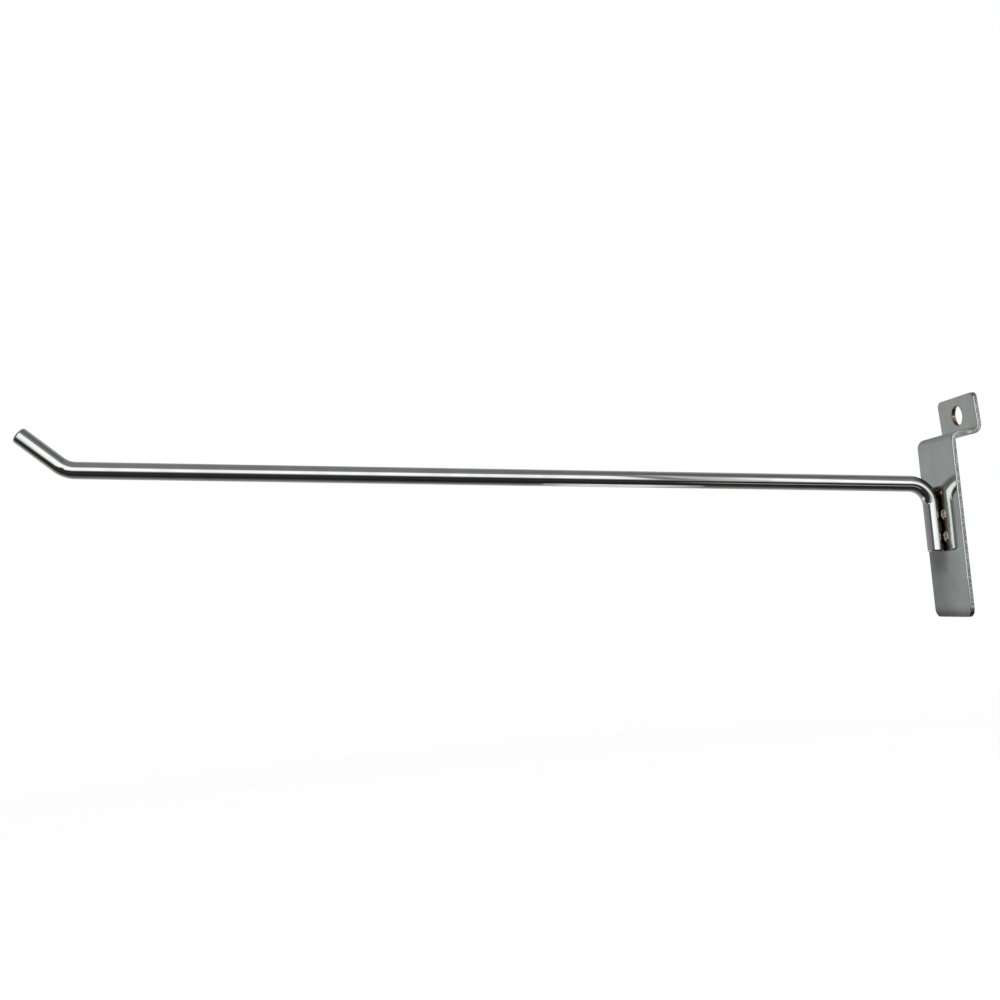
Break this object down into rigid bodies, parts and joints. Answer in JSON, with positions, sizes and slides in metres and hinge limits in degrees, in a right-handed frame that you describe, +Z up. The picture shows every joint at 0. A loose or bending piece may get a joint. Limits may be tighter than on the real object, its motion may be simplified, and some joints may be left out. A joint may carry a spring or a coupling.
{
  "type": "slatwall hook",
  "caption": "Chromed steel display hook for slatwall: a stepped back strip with a hooked tab, and a welded wire arm with an upturned tip.",
  "frame": {"origin": "centre of the strip's flat back, on the plane of the slatwall's face", "axes": "+X points out of the wall, the way the arm reaches; +Y runs across the strip; +Z is up"},
  "size_m": [0.3181, 0.025, 0.0859],
  "materials": {
    "strip_chrome": "bright plating over cold-rolled strip, slightly dull on the flats",
    "wire_chrome": "bright plating over drawn wire",
    "weld_metal": "thinly plated weld drops with brown heat tint"
  },
  "bodies": {
    "root": {"back_plate": "strip_chrome", "hook_arm": "wire_chrome", "top_weld": "weld_metal", "right_middle_weld": "weld_metal", "right_lower_weld": "weld_metal", "left_middle_weld": "weld_metal", "left_lower_weld": "weld_metal"}
  },
  "joints": []
}
